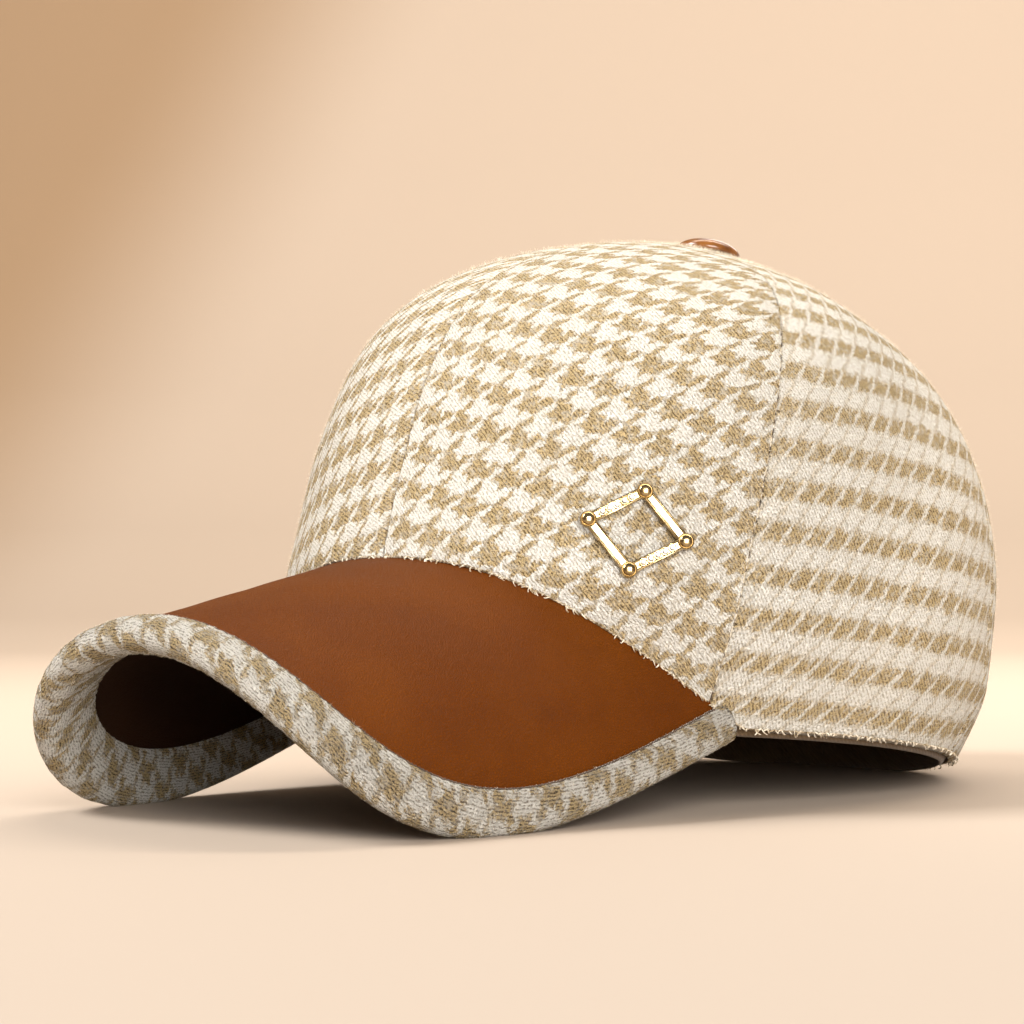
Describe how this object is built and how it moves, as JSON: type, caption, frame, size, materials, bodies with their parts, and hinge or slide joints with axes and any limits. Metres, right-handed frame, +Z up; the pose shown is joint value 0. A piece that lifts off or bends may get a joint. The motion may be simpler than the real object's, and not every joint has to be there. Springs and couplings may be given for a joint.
{
  "type": "houndstooth cap",
  "caption": "Panelled cloth cap with a curved leather peak, a bound edge, a top button and a small stone-set lozenge.",
  "frame": {"origin": "on the surface that the cap rests on, under the middle of its box", "axes": "+Z up, the peak points to -Y, the wearer's left is +X"},
  "size_m": [0.1704, 0.284, 0.148],
  "materials": {
    "tweed": "cream and tan wool houndstooth, slightly hairy",
    "band_cloth": "tan twill",
    "brown_leather": "smooth brown leather, fine grain, satin",
    "dark_leather": "dark brown leather, matt",
    "gloss_brown": "glossy brown",
    "gold": "polished pale gold",
    "crystal": "cut clear stones"
  },
  "bodies": {
    "root": {"crown_front_left": "tweed", "crown_front_right": "tweed", "crown_side_left": "tweed", "crown_side_right": "tweed", "crown_back_left": "tweed", "crown_back_right": "tweed", "sweatband": "band_cloth", "peak_leather_top": "brown_leather", "peak_leather_under": "dark_leather", "peak_binding": "tweed", "top_button": "gloss_brown", "ornament": "gold", "ornament_stone_01": "crystal", "ornament_stone_02": "crystal", "ornament_stone_03": "crystal", "ornament_stone_04": "crystal", "ornament_stone_05": "crystal", "ornament_stone_06": "crystal", "ornament_stone_07": "crystal", "ornament_stone_08": "crystal", "ornament_stone_09": "crystal", "ornament_stone_10": "crystal"}
  },
  "joints": []
}
